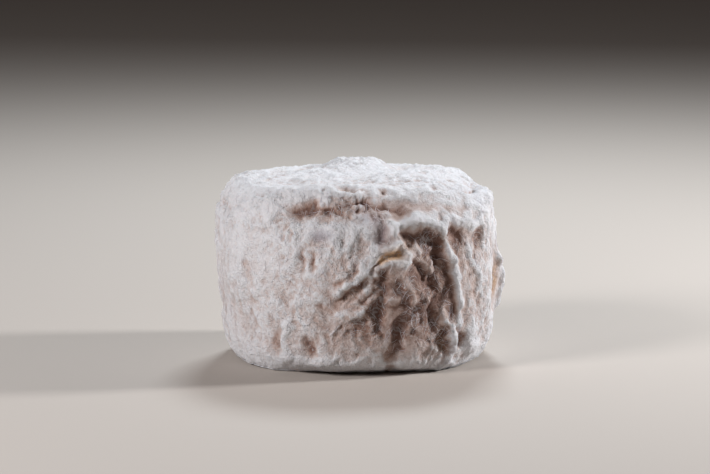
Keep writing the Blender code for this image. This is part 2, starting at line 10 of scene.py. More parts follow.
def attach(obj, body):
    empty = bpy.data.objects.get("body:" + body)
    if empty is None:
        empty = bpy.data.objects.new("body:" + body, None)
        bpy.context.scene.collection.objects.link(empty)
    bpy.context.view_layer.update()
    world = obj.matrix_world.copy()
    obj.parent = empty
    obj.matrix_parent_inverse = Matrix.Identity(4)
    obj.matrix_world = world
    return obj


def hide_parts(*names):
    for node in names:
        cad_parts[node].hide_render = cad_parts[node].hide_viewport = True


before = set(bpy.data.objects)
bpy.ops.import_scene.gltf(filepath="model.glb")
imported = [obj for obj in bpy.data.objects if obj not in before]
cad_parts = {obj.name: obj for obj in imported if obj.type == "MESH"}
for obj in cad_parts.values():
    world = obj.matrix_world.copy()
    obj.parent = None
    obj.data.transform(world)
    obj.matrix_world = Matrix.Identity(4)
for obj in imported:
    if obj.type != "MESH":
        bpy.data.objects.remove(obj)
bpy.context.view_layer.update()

mm = 0.001  # the cheese's own sizes are in millimetres
tiny = 1e-6  # allows for rounding, and keeps a length off nought
print("frame loaded:", ", ".join(sorted(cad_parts)))

# half of the drum's section under the rind, from the middle underneath to the middle on top
drum = {
    "section": [
        (0.0, 0.0), (20.5, 0.0), (22.4, 0.4), (23.5, 1.6), (24.6, 5.0), (25.2, 10.0),
        (25.8, 15.0), (26.0, 20.0), (25.9, 24.0), (25.4, 28.0), (24.3, 31.0), (22.5, 32.8),
        (20.2, 33.4), (10.0, 33.75), (0.0, 33.8),
    ],
    "baseRadius": 20.5,  # the flat disc that it rests on
    "rim": (20.2, 33.4),  # where the top turns down into the side
    "curveSteps": 40,
    "slopeStep": 0.4,  # the section's slope is taken over this length each way
    "edgeFade": 3.0,  # the relief grows over this length above the flat underside
    "frontTuck": 3.0,  # the lower edge draws in at the front
    "tuckHeight": 2.5,
    "tuckDegrees": 34.0,
    "tuckSharpness": 4,
    "restsAt": (-42, 44, 138, 227),  # degrees; the underside's edge lifts a little between these
    "restRadius": 21.3,
    "edgeLift": 0.05,
    "liftHeight": 3.0,
    "quadsPerQuarter": 132,
    "quadsUp": 106,
}

# the rind's own relief, coarse to fine
rind = {
    "lumpSize": 13.0, "lumpHeight": 0.6,
    "foldSize": 6.2, "foldHeight": 0.55, "foldBend": 2.4,
    "wrinkleSize": 3.2, "wrinkleHeight": 0.38, "wrinkleBend": 1.5,
    "crinkleSize": 1.55, "crinkleHeight": 0.18, "crinkleBend": 1.4,
    "grainSize": 0.85, "grainHeight": 0.1, "grainBend": 0.8,
    "ridgeSlope": 2.6, "ridgeFiner": 2.03,  # each ridge carries a second set, this much finer
    "stretch": 0.75,  # folds on the side are drawn out upwards
    "bendSize": 7.0, "fineBendSize": 3.4,
    "fineFrom": 0.4, "fineFade": 2.0,  # the finest relief starts at a height and grows above it
    "fineLeast": 0.1,
    "seed": Vector((31.7, 4.2, 18.9)),
    "wanderSize": 3.2, "wander": 0.65,  # how far a modelled fold wanders from its line
    "fineWanderSize": 1.3, "fineWander": 0.28,
    "patchSize": 9.0, "patchMean": 0.95, "patchSwing": 0.6,  # folds are stronger by patches
    "weakest": 0.75, "firmest": 1.3,  # a crest's height varies along it between these shares
    "unevenSize": 2.4, "uneven": 0.5,
    "topFacesUp": 0.5,  # a rise of the top is whole where the drum faces up by this share
    "swellingReach": 3,  # half sizes, past which a swelling adds nothing
}

# where the rind is calmer or rougher: the middle as (degrees from the front, height) and half sizes
roughness = {
    "left": dict(at=(-54, 17.0), size=(16.0, 18.0), more=-0.6),
    "front": dict(at=(2, 20.0), size=(9.0, 12.0), more=0.25),
    "terrace": dict(at=(38, 31.5), size=(11.0, 3.4), more=-0.7),
    "right": dict(at=(54, 16.0), size=(10.0, 18.0), more=-0.15),
    "hollow": dict(at=(28, 14.0), size=(6.0, 9.0), more=0.1),
}

# crests: the line as (degrees, height), half widths right and left of its way, how far out,
# sharpness (1 a knife edge, 2 round) and lean (round, up)
crests = {
    "arch": dict(
        line=[
            (15, 26.8), (17.4, 28.0), (21.0, 28.9), (25.2, 29.0), (29.7, 28.4), (33.4, 27.4),
            (36.5, 26.2),
        ],
        width=(1.0, 1.1), height=1.35, sharp=2.0, lean=(-0.1, 0.0)),
    "archLeg": dict(
        line=[(36.5, 26.2), (39.3, 23.8), (41.5, 21.0), (43.5, 18.0), (45, 15.0), (45.4, 13.0)],
        width=(1.1, 1.2), height=1.0, sharp=2.0, lean=(0.0, 0.0)),
    "archFoot": dict(
        line=[(45.4, 13.0), (45.2, 11.0), (44.6, 9.4)],
        width=(0.8, 0.9), height=0.5, sharp=1.9, lean=(0.0, 0.0)),
    "ledge": dict(
        line=[(36, 27.4), (42, 27.9), (47, 27.6), (52, 27.0), (57, 26.6), (62, 26.9)],
        width=(0.8, 1.0), height=1.05, sharp=2.0, lean=(0.0, 0.0)),
    "ledgeBehind": dict(
        line=[(54, 29.0), (57, 29.9), (61, 29.8), (66, 28.6)],
        width=(0.8, 1.1), height=0.8, sharp=1.7, lean=(0.0, 0.0)),
    "ribRight": dict(
        line=[(50, 25.6), (51.5, 22.9), (54.8, 19.6), (58.6, 16.6), (61, 13.8)],
        width=(0.7, 0.9), height=0.3, sharp=2.0, lean=(0.0, 0.0)),
    "ribFarRight": dict(
        line=[(67, 28.0), (69, 24.0), (70, 20.0), (71, 15.5), (69, 10.5)],
        width=(1.1, 1.4), height=0.55, sharp=1.7, lean=(0.0, 0.0)),
    "lowRightNeck": dict(
        line=[(36.5, 12.0), (38.5, 9.8), (41.5, 8.8), (46.0, 9.2)],
        width=(0.7, 1.2), height=0.8, sharp=1.5, lean=(0.0, -0.2)),
    "lowRightLeg": dict(
        line=[(41.5, 8.6), (43.3, 5.8), (43.2, 3.2), (41.5, 1.2)],
        width=(0.8, 0.8), height=1.0, sharp=1.5, lean=(-0.2, 0.0)),
    "lowRightLobe": dict(
        line=[(52.5, 7.6), (54.5, 5.2), (57.5, 3.8), (61.5, 3.4)],
        width=(1.5, 1.9), height=1.0, sharp=2.0, lean=(0.0, 0.0)),
    "frillLeft": dict(
        line=[(29.6, 0.8), (31.0, 2.8), (32.8, 5.0)],
        width=(0.4, 0.5), height=0.5, sharp=1.7, lean=(0.0, 0.0)),
    "frillMiddle": dict(
        line=[(32.8, 0.6), (33.6, 2.8), (35.4, 5.2)],
        width=(0.4, 0.5), height=0.5, sharp=1.7, lean=(0.0, 0.0)),
    "frillRight": dict(
        line=[(36.0, 0.6), (36.6, 2.4), (37.8, 4.2)],
        width=(0.4, 0.5), height=0.45, sharp=1.7, lean=(0.0, 0.0)),
    "slantingFold": dict(
        line=[(-8, 16.2), (-3, 17.6), (1, 19.2), (5, 21.4), (8, 23.0), (14, 23.9)],
        width=(0.7, 1.5), height=0.95, sharp=1.7, lean=(0.0, -0.2)),
    "flakeTip": dict(
        line=[(13.5, 23.8), (17.0, 25.0), (19.0, 23.0), (21.0, 21.0)],
        width=(0.6, 0.8), height=1.0, sharp=1.3, lean=(0.1, 0.4)),
    "flakeTopLip": dict(
        line=[(9.5, 22.9), (12.0, 23.7), (15.0, 24.1)],
        width=(0.4, 0.6), height=0.45, sharp=1.8, lean=(0.0, 0.0)),
    "flakeLip": dict(
        line=[(8.0, 20.2), (11.5, 20.9), (15, 21.3), (19.0, 21.2)],
        width=(1.0, 0.7), height=1.05, sharp=1.9, lean=(0.0, 0.1)),
    "foldPastFlake": dict(
        line=[(21.0, 23.0), (25, 23.5), (29, 23.1), (31.0, 21.4), (31.5, 20.0)],
        width=(0.8, 1.2), height=0.5, sharp=1.9, lean=(0.0, 0.0)),
    "foldLowInHollow": dict(
        line=[(32, 18.4), (34, 17.2), (36, 15.6)],
        width=(0.7, 0.9), height=0.4, sharp=1.8, lean=(0.0, 0.0)),
    "foldUnderFlake": dict(
        line=[(18, 18.8), (20.5, 17.0), (21.5, 15.2)],
        width=(0.7, 0.9), height=0.4, sharp=1.8, lean=(0.0, 0.0)),
    "strandUnderRim": dict(
        line=[(-3.0, 32.8), (-2.2, 31.2), (-2.6, 29.8)],
        width=(0.35, 0.45), height=0.4, sharp=1.8, lean=(0.0, 0.0)),
    "strandOverPillow": dict(
        line=[(1.2, 32.9), (1.8, 31.4), (1.4, 30.2)],
        width=(0.35, 0.4), height=0.4, sharp=1.8, lean=(0.0, 0.0)),
    "strandBesidePillow": dict(
        line=[(7.6, 32.8), (7.2, 31.2), (8.0, 29.8)],
        width=(0.4, 0.5), height=0.4, sharp=1.8, lean=(0.0, 0.0)),
    "curlInHollow": dict(
        line=[(24.5, 20.8), (26.5, 21.4), (28.6, 20.4), (29.6, 18.2), (29.0, 16.4)],
        width=(0.5, 0.8), height=0.55, sharp=1.8, lean=(0.0, 0.0)),
    "foldInHollow": dict(
        line=[(22, 14.4), (26, 14.8), (30, 14.0), (33, 15.2)],
        width=(0.7, 0.9), height=0.4, sharp=1.8, lean=(0.0, 0.0)),
    "crossFold": dict(
        line=[(0, 11.8), (3, 13.0), (6, 14.6), (8, 16.2)],
        width=(0.6, 1.2), height=0.5, sharp=1.5, lean=(0.0, 0.0)),
    "brow": dict(
        line=[(-30, 32.2), (-22, 32.8), (-14, 33.1)],
        width=(0.9, 1.4), height=0.4, sharp=1.8, lean=(0.0, -0.1)),
    "ribLowLeft": dict(
        line=[(-30, 9.5), (-31.5, 6.5), (-31.5, 3.5)],
        width=(1.1, 1.1), height=1.3, sharp=1.9, lean=(0.0, 0.0)),
    "ribLowFront": dict(
        line=[(-13.5, 8.5), (-14.5, 6.0), (-15, 3.5)],
        width=(1.4, 1.4), height=0.7, sharp=1.9, lean=(0.0, 0.0)),
    "sideFlap": dict(
        line=[(81, 19.4), (86.5, 17.4), (89.0, 13.8), (88, 10.6)],
        width=(0.8, 1.2), height=1.75, sharp=1.5, lean=(-0.3, 0.0)),
    "leftFlap": dict(
        line=[(-91, 23.6), (-86, 23.5), (-81, 22.6)],
        width=(1.8, 0.5), height=0.65, sharp=1.5, lean=(0.0, 0.2)),
}

# furrows: the same, cut in
furrows = {
    "underRim": dict(
        line=[(-30, 30.8), (-18, 31.0), (0, 31.1), (10, 31.2), (16, 31.4)],
        width=2.9, depth=1.1),
    "terrace": dict(
        line=[(18, 32.2), (30, 32.3), (42, 32.4), (54, 32.4)],
        width=2.6, depth=0.95),
    "valleyLow": dict(
        line=[(17, 10.0), (16, 7.0), (15, 4.0), (14.5, 1.0)],
        width=1.3, depth=1.1),
    "caveUnderFlake": dict(
        line=[(10, 19.4), (8.5, 16.5), (9, 13.0), (8, 10.0)],
        width=1.1, depth=1.0),
    "slotInFlake": dict(line=[(8.5, 21.4), (12, 22.4), (16.3, 22.7)], width=0.6, depth=0.5),
    "underBrow": dict(
        line=[(-12, 31.2), (-6, 32.0), (0, 32.4), (7, 32.5), (13, 31.8)],
        width=0.9, depth=0.3),
    "aboveLedge": dict(
        line=[(16, 31.4), (22, 31.9), (28, 31.9), (34, 30.9), (40, 30.4), (48, 30.2), (54, 30.4)],
        width=1.4, depth=0.45),
    "slantOne": dict(line=[(-8.5, 17.2), (-4, 18.6), (0, 20.2)], width=0.5, depth=0.6),
    "slantTwo": dict(line=[(-5.5, 15.4), (-2, 16.8), (1, 18.0)], width=0.5, depth=0.5),
    "slantThree": dict(line=[(-1, 13.4), (3, 14.6), (5.5, 17.0)], width=0.55, depth=0.5),
    "creaseInHollow": dict(line=[(23, 20.8), (27, 19.4), (30, 16.6)], width=0.8, depth=0.6),
    "creaseDown": dict(
        line=[(34.0, 22.0), (33.0, 18.5), (32.6, 14.5), (31.4, 11.0)],
        width=0.7, depth=0.6),
    "leftLine": dict(line=[(-51, 20.0), (-49.5, 14.5), (-48, 9.0)], width=1.0, depth=0.35),
    "lobeNotch": dict(line=[(62, 33.0), (72, 32.6), (82, 32.5), (95, 32.4)], width=0.8, depth=1.0),
}

# dimples and bumps: the middle, half sizes (round, up) and how far out
swellings = {
    "bigHollow": dict(at=(33, 17.5), size=(4.6, 7.5), out=-1.6),
    "underArch": dict(at=(33.8, 24.4), size=(2.1, 2.8), out=-1.6),
    "underArchLeft": dict(at=(25.5, 25.6), size=(3.2, 1.7), out=-0.9),
    "archBody": dict(at=(23.0, 28.0), size=(3.2, 1.4), out=0.35),
    "rightTopCorner": dict(at=(88, 33.2), size=(9.0, 1.5), out=-1.1),
    "rightOfArch": dict(at=(45.6, 25.2), size=(1.8, 2.2), out=-0.7),
    "rightOfRib": dict(at=(60.0, 24.6), size=(1.5, 2.8), out=-0.4),
    "lowRightPit": dict(at=(38.3, 5.4), size=(1.2, 2.6), out=-1.0),
    "lowFarRightPit": dict(at=(48.0, 6.2), size=(0.9, 1.8), out=-0.8),
    "pitUnderBrow": dict(at=(-21.5, 31.0), size=(2.0, 1.5), out=-0.95),
    "farPitUnderBrow": dict(at=(-26.5, 30.2), size=(1.1, 0.8), out=-0.5),
    "secondPit": dict(at=(-13.0, 31.2), size=(1.1, 1.3), out=-0.7),
    "ridgeBetweenPits": dict(at=(-17.0, 31.8), size=(0.9, 1.8), out=0.45),
    "thirdPit": dict(at=(-1.0, 32.4), size=(3.0, 1.2), out=-0.35),
    "pitOverPillow": dict(at=(5.2, 32.6), size=(0.8, 1.4), out=-0.6),
    "fourthPit": dict(at=(11.0, 32.0), size=(1.5, 1.1), out=-0.6),
    "faceUnderLedge": dict(at=(47.0, 23.0), size=(10.0, 4.5), out=-0.6),
    "frontPillow": dict(at=(-6.5, 27.4), size=(2.6, 1.8), out=0.5),
    "frontPillowRight": dict(at=(3.0, 28.8), size=(2.3, 2.6), out=0.6),
    "valleyBesidePillow": dict(at=(9.0, 27.0), size=(1.1, 3.2), out=-0.55),
    "pillowLeftOfArch": dict(at=(13.5, 28.8), size=(1.6, 2.2), out=0.7),
    "greyDip": dict(at=(-14.5, 26.0), size=(2.0, 1.4), out=-0.5),
    "slitLeft": dict(at=(-17.5, 21.4), size=(0.7, 1.5), out=-0.8),
    "slitFarLeft": dict(at=(-21.3, 21.8), size=(0.6, 1.7), out=-0.5),
    "lowLeftPit": dict(at=(-36.0, 6.2), size=(1.2, 2.4), out=-0.6),
    "lowFrontPit": dict(at=(-19.5, 5.3), size=(1.4, 2.2), out=-0.95),
    "lobeOverLowPit": dict(at=(-21.0, 9.8), size=(1.8, 2.4), out=0.75),
    "lowFrontLobe": dict(at=(1, 3.2), size=(6.0, 2.2), out=0.35),
    "crinkledLobe": dict(at=(6, 6.6), size=(3.0, 1.8), out=0.5),
    "cornerLobe": dict(at=(82, 30.8), size=(5.4, 1.7), out=1.05),
    "leftCheek": dict(at=(-62, 21.0), size=(9.0, 9.0), out=0.45),
    "flapHollow": dict(at=(78, 15.0), size=(1.3, 3.6), out=-0.8),
    "leftWaist": dict(at=(-88, 12.5), size=(8.0, 4.0), out=-0.6),
    "leftShoulder": dict(at=(-88, 30.2), size=(7.0, 1.6), out=-0.5),
}

# rises and dips of the top: the middle as (x, y)
topSwellings = {
    "pitInRim": dict(at=(-1.5, -20.2), size=(2.6, 1.0), out=-0.65),
    "pitInRimRight": dict(at=(4.4, -19.8), size=(0.7, 1.3), out=-0.8),
    "pitInRimLeft": dict(at=(-6.4, -20.4), size=(0.9, 0.9), out=-0.5),
    "frontRim": dict(at=(-4.0, -18.2), size=(13.0, 3.4), out=1.2),
    "frontRimRight": dict(at=(12.0, -14.0), size=(6.0, 4.0), out=0.6),
    "backRise": dict(at=(0.5, 12.0), size=(6.0, 5.0), out=1.15),
    "backStep": dict(at=(-4.0, 13.0), size=(2.0, 4.0), out=0.5),
    "backPeak": dict(at=(3.2, 14.0), size=(1.6, 2.2), out=0.7),
    "rightCorner": dict(at=(20.3, 0.5), size=(3.0, 8.0), out=-1.3),
    "rightRise": dict(at=(13.5, 10.0), size=(5.0, 5.0), out=0.75),
    "dipLeftOfRise": dict(at=(-9.2, 14.5), size=(3.2, 4.5), out=-0.95),
    "dipRightOfRise": dict(at=(8.0, 13.0), size=(2.2, 4.5), out=-0.95),
    "leftEdge": dict(at=(-18.0, 4.0), size=(4.0, 8.0), out=0.35),
    "terrace": dict(at=(13.5, -17.5), size=(7.0, 5.0), out=-0.5),
}

# folds and hollows of the same kinds on the back, each number drawn between two
back = {
    "from": 102, "to": 262,  # degrees
    "folds": 15, "seed": 11,
    "startShare": (0.1, 0.9), "startHeight": (9.0, 29.0),
    "steps": (3, 4, 5), "stepDown": (1.6, 3.4), "lowest": 1.5,
    "slant": (-0.9, 1.1), "slantDegrees": 2.4, "stray": (-1.4, 1.4),
    "rightWidth": (0.7, 1.0), "leftWidth": (0.9, 1.8),
    "height": (0.5, 1.1), "sharp": (1.3, 1.8), "lean": (-0.3, 0.3), "leanUp": -0.1,
    "hollowAside": (-4.5, 4.5), "hollowWidth": (1.2, 2.4), "hollowHeight": (1.8, 3.6),
    "hollowDepth": (0.4, 0.9),
    # a back hollow browns more the deeper it is: tan partly, painted shade in the recess partly
    "tan": 0.15, "shadeAndTanPerDepth": 0.75,
}

# where the rind shows through the white mould, or the mould is thick, grey or yellow; some entries
# paint shade into hollows and shaded sides, or highlights onto lit crests
stainsAndShade = {
    "thinOverFront": dict(at=(6, 12.0), size=(10.0, 8.0), tan=1.1),
    # painted shade: the hollow lies in shade and is painted dark brown
    "paintedShadeInHollow": dict(at=(27, 14.5), size=(7.5, 11.0), tan=2.1),
    # painted shade: a lilac-grey shade right of the front pillows
    "paintedShadeRightFront": dict(at=(10, 25.0), size=(3.0, 4.0), grey=0.35, tan=0.3),
    # the band under the front rim: thin mould partly, painted shade on the slope partly
    "thinAndShadeUnderRim": dict(at=(-2, 31.4), size=(10.5, 2.3), tan=1.9),
    "thirdPit": dict(at=(-1.0, 32.7), size=(3.6, 1.3), tan=0.6),
    "pitOverPillow": dict(at=(5.2, 32.8), size=(0.8, 1.4), tan=1.2),
    "thinMiddle": dict(at=(-14, 18.0), size=(9.0, 9.0), tan=0.25),
    "underBrow": dict(at=(-21.5, 31.0), size=(2.1, 1.6), tan=1.8),
    "underBrowLeft": dict(at=(-26.5, 30.2), size=(1.3, 0.9), tan=0.9),
    "underBrowMiddle": dict(at=(-13.0, 31.2), size=(1.3, 1.3), tan=1.4),
    "underBrowRight": dict(at=(-8.5, 29.6), size=(2.6, 1.0), tan=0.9),
    "browFarRight": dict(at=(11, 32.0), size=(1.6, 1.1), tan=1.1),
    # painted shade in the valley beside the pillow
    "paintedShadeBesidePillow": dict(at=(9.0, 27.0), size=(1.4, 3.2), tan=0.9, grey=0.5),
    "slitLeft": dict(at=(-17.5, 21.4), size=(0.8, 1.5), tan=1.1),
    "slitFarLeft": dict(at=(-21.3, 21.8), size=(0.6, 1.7), tan=0.8),
    "overSlits": dict(at=(-19.0, 23.0), size=(1.6, 0.5), tan=0.4),
    "underGrey": dict(at=(-15.5, 24.4), size=(0.9, 0.5), tan=0.5),
    "frontSpeck": dict(at=(-7.0, 22.3), size=(1.4, 0.8), tan=0.5),
    "besideSlant": dict(at=(1.5, 21.2), size=(1.4, 0.8), tan=0.5),
    "underSlant": dict(at=(2.0, 15.5), size=(2.2, 1.6), tan=0.5),
    "lowFront": dict(at=(-2.0, 9.2), size=(4.0, 2.0), tan=0.45),
    "lowFrontRight": dict(at=(5.0, 10.5), size=(2.6, 2.0), tan=0.8),
    # painted shade: the hollow, which lies in shade, is browned
    "hollow": dict(at=(32, 16.0), size=(6.4, 9.0), tan=0.7),
    "lowHollow": dict(at=(25, 6.5), size=(4.5, 4.5), tan=0.5),
    # painted shade under the arch's overhang, on both of its sides
    "underArch": dict(at=(33.8, 24.2), size=(2.6, 3.1), tan=1.9),
    "underArchLeft": dict(at=(25.5, 25.4), size=(3.4, 1.6), tan=1.4, ochre=0.2),
    "behindFlake": dict(at=(20.5, 24.6), size=(1.4, 1.0), tan=0.5),
    "rightOfArch": dict(at=(46.6, 25.2), size=(2.1, 2.0), tan=1.8),
    "rightOfArchLow": dict(at=(47.0, 21.0), size=(1.0, 3.2), tan=1.0),
    "farRightOfArch": dict(at=(60.0, 24.4), size=(1.7, 2.8), tan=1.2),
    "betweenRibs": dict(at=(53.5, 15.5), size=(0.8, 2.0), tan=0.6),
    "lowRightPit": dict(at=(38.3, 5.4), size=(1.6, 3.0), tan=1.9, ochre=0.5),
    "lowFarRightPit": dict(at=(48.0, 6.2), size=(1.1, 1.9), tan=1.8, ochre=0.35),
    "lowRightCorner": dict(at=(49.0, 2.6), size=(1.3, 0.9), tan=0.7),
    "overNeck": dict(at=(42.5, 11.0), size=(1.0, 0.9), tan=0.7),
    "lowLeftPit": dict(at=(-36.0, 6.2), size=(1.1, 2.4), tan=0.8),
    "lowFrontPit": dict(at=(-19.5, 5.3), size=(1.5, 2.2), tan=1.0),
    "besideLobe": dict(at=(-15.0, 9.6), size=(1.0, 2.0), tan=0.6),
    "leftLine": dict(at=(-48, 17.0), size=(1.0, 4.0), tan=0.45),
    "leftBrow": dict(at=(-43, 31.3), size=(3.2, 1.2), tan=0.35),
    "farLeftBrow": dict(at=(-58, 32.4), size=(2.2, 0.8), tan=0.3),
    "leftFlap": dict(at=(-87, 17.0), size=(4.0, 6.0), tan=0.25, ochre=0.25),
    "flapHollow": dict(at=(80, 15.0), size=(1.8, 4.2), tan=1.5, ochre=0.7),
    "underFlake": dict(at=(13, 17.5), size=(3.0, 2.5), tan=0.3),
    "flake": dict(at=(14.5, 22.8), size=(4.4, 2.1), white=1.3, ochre=0.6),
    "greyDip": dict(at=(-14.5, 26.2), size=(2.5, 1.5), grey=1.0),
    "greyPillow": dict(at=(3.5, 29.6), size=(2.2, 1.6), grey=0.6),
    "greyLeft": dict(at=(-70, 27.5), size=(3.4, 2.4), grey=0.35),
    "rightBand": dict(at=(76, 22.0), size=(3.6, 9.0), white=0.2),
    "thinLowFront": dict(at=(-6, 5.0), size=(8.0, 2.8), tan=0.8),
    # painted shade: the tucked-in lower left edge is darkened
    "paintedShadeLowLeft": dict(at=(-38, 4.5), size=(12.0, 3.0), tan=0.45),
    # the low right lobe painted whiter: thick mould partly, painted highlight partly
    "lobe": dict(at=(57, 4.6), size=(2.4, 1.8), white=1.8),
    # browns the right side: some brown patches, and painted shade that tones down its light
    "mottledAndShadedRight": dict(at=(60, 16.0), size=(8.0, 10.0), tan=0.5),
    "leftCheek": dict(at=(-45, 24.0), size=(9.0, 7.0), white=0.25),
}
stainAndShadeLines = {
    # painted shade on the leg's left flank, which faces away from the lamps
    "paintedShadeLeftOfLeg": dict(line=[(35.0, 26), (37.8, 22), (40.2, 18), (41.8, 12)], width=1.1, tan=1.3),
    # painted shade in the dip above the ledge
    "aboveLedge": dict(
        line=[(20, 30.8), (30, 30.6), (40, 30.0), (48, 29.8), (56, 29.4)],
        width=0.9, tan=0.8),
    "underLedge": dict(line=[(40, 26.0), (44, 26.2), (50, 25.6), (58, 25.0)], width=0.8, tan=0.9),
    "slantOne": dict(line=[(-8.5, 17.2), (-4, 18.6), (0, 20.2)], width=0.6, tan=1.0),
    "slantTwo": dict(line=[(-5.5, 15.4), (-2, 16.8), (1, 18.0)], width=0.55, tan=0.9),
    "cave": dict(line=[(10, 19.6), (8.5, 16.5), (8.5, 13.0), (7, 9.5)], width=1.5, tan=1.0),
    "valley": dict(line=[(17, 10.0), (16, 7.0), (15, 4.0), (14.5, 1.0)], width=1.5, tan=1.0),
    "slot": dict(line=[(9.5, 21.6), (12, 22.2), (15.6, 22.5)], width=0.7, ochre=1.3),
    "archTop": dict(
        line=[(16, 27.8), (21, 29.2), (25.2, 29.3), (30, 28.6), (34, 27.4)],
        width=0.9, white=1.0),
    # the leg's crest line painted white: thick mould partly, painted highlight partly
    "archLeg": dict(
        line=[(36.5, 26.4), (41.5, 21.0), (43.5, 18.0), (45, 15.0), (46, 10.0)],
        width=0.95, white=1.7),
    # the ledge's crest painted white: thick mould partly, painted highlight partly
    "ledgeBloomAndHighlight": dict(
        line=[(36, 27.6), (43, 28.1), (50, 27.4), (57, 26.8), (62, 27.0)],
        width=0.8, white=1.2),
    "ribRight": dict(
        line=[(50, 25.6), (51.5, 22.9), (54.8, 19.6), (58.6, 16.6), (61, 13.8)],
        width=0.6, white=1.0),
    "lowLeg": dict(line=[(38.5, 9.8), (42, 8.4), (43.3, 5.8), (42.8, 1.6)], width=0.6, white=1.0),
    "flakeEdge": dict(
        line=[(5, 21.4), (8, 23.0), (14, 23.9), (17, 25.0), (20, 22.0)],
        width=0.6, white=0.9),
}
topStains = {
    "underRim": dict(at=(-0.5, -20.8), size=(6.5, 1.5), tan=0.7),
    "pitInRimRight": dict(at=(4.4, -19.8), size=(0.8, 1.4), tan=0.9),
    "terracePits": dict(at=(12.5, -17.5), size=(1.5, 1.2), tan=0.5),
    "streak": dict(at=(16.5, -1.0), size=(2.0, 0.8), tan=0.35, ochre=0.3),
    "middle": dict(at=(0.0, 2.0), size=(18.0, 15.0), white=1.1),
}


def sectionCurve():
    # a Catmull-Rom curve through the section, straight along the underside
    p = np.array(drum["section"])
    curve = [p[0]]
    for i in range(len(p) - 1):
        before = p[max(i - 1, 0)]
        after = p[min(i + 2, len(p) - 1)]
        cubic = 3 * p[i] - before - 3 * p[i + 1] + after
        square = 2 * before - 5 * p[i] + 4 * p[i + 1] - after
        for s in np.linspace(0, 1, drum["curveSteps"] + 1)[1:]:
            if i == 0:
                curve.append(p[0] + (p[1] - p[0]) * s)
            else:
                curve.append(p[i] + 0.5 * (cubic * s**3 + square * s**2 + (p[i + 1] - before) * s))
    return np.array(curve)


curve = sectionCurve()
along = np.concatenate([[0.0], np.cumsum(np.linalg.norm(np.diff(curve, axis=0), axis=1))])


def lengthAt(point):
    return along[np.argmin(np.linalg.norm(curve - np.array(point), axis=1))]


sideFrom = lengthAt((drum["baseRadius"], 0.0))
sideTo = lengthAt(drum["rim"])


def onDrum(angle, length):
    # the plain drum's points, and which way is out, around and up at each
    step = drum["slopeStep"]
    radius = np.interp(length, along, curve[:, 0])
    height = np.interp(length, along, curve[:, 1])
    rise = [
        np.interp(length + step, along, curve[:, k]) - np.interp(length - step, along, curve[:, k])
        for k in (0, 1)
    ]
    dRadius, dHeight = rise / np.hypot(*rise)
    s, c = np.sin(angle), -np.cos(angle)
    point = np.stack([radius * s, radius * c, height], -1)
    out = np.stack([dHeight * s, dHeight * c, -dRadius], -1)
    up = np.stack([dRadius * s, dRadius * c, dHeight], -1)
    around = np.stack([-c, s, np.zeros_like(s)], -1)
    return point, out, around, up


def onSide(degrees, height):
    side = (along >= sideFrom) & (along <= sideTo)
    length = np.interp(height, curve[side, 1], along[side])
    return onDrum(np.radians(np.asarray(degrees, float)), np.asarray(length, float))


def distanceToLine(points, line):
    # each point's distance to a line on the side, and if it lies on the left of its way
    degrees, heights = np.array(line, float).T
    stops, outs = onSide(degrees, heights)[:2]
    nearest = np.full(len(points), np.inf)
    onLeft = np.zeros(len(points), bool)
    for a, b, out in zip(stops[:-1], stops[1:], outs):
        share = np.clip(((points - a) @ (b - a)) / ((b - a) @ (b - a)), 0, 1)
        gap = np.linalg.norm(points - a - share[:, None] * (b - a), axis=1)
        closer = gap < nearest
        onLeft[closer] = (np.cross(b - a, points[closer] - a) @ out) > 0
        nearest[closer] = gap[closer]
    return nearest, onLeft


def swelling(points, middle, one, two, size):
    # 1 at the middle and 0 well outside, over an ellipse on the surface
    offset = points - middle
    near = np.linalg.norm(offset, axis=1) < rind["swellingReach"] * max(size)
    return near * np.exp(-((offset @ one / size[0]) ** 2) - (offset @ two / size[1]) ** 2)


def swellingOnSide(points, at, size):
    middle, _, around, up = onSide(*at)
    return swelling(points, middle, around, up, size)


def swellingOnTop(points, at, size):
    middle = np.array([*at, curve[-1, 1]])
    return swelling(points, middle, np.eye(3)[0], np.eye(3)[1], size)


def vectors(points):
    return [Vector(point) for point in points.tolist()]


def ridged(place):
    # sharp crests with round valleys between them
    coarse = 1 - rind["ridgeSlope"] * abs(noise.noise(place))
    fine = 1 - rind["ridgeSlope"] * abs(noise.noise(rind["ridgeFiner"] * place + rind["seed"]))
    return (2 * coarse + fine) / 3


def drift(place):
    # a smooth wandering to and fro, the same each time
    seed = rind["seed"]
    return Vector([noise.noise(place + offset) for offset in (seed, -seed, 3 * seed)])


def rindRelief(points, upright):
    # how far the rind's folds stand out, and how strong they are, at each point
    seed = rind["seed"]
    relief, strong = np.empty(len(points)), np.empty(len(points))
    for i, (place, side) in enumerate(zip(vectors(points), upright)):
        tall = Vector((place.x, place.y, place.z * (1 - (1 - rind["stretch"]) * float(side))))
        bend = drift(tall / rind["bendSize"])
        fold = ridged((tall + rind["foldBend"] * bend) / rind["foldSize"] - seed)
        wrinkle = ridged((tall + rind["wrinkleBend"] * bend) / rind["wrinkleSize"] + 2 * seed)
        patch = noise.noise(place / rind["patchSize"] - 3 * seed)
        strong[i] = rind["patchMean"] + rind["patchSwing"] * patch
        relief[i] = rind["foldHeight"] * fold + rind["wrinkleHeight"] * wrinkle
    for place in roughness.values():
        strong += place["more"] * swellingOnSide(points, place["at"], place["size"])
    lumps = np.array([noise.noise(place + seed) for place in vectors(points / rind["lumpSize"])])
    return rind["lumpHeight"] * lumps + strong * relief, strong


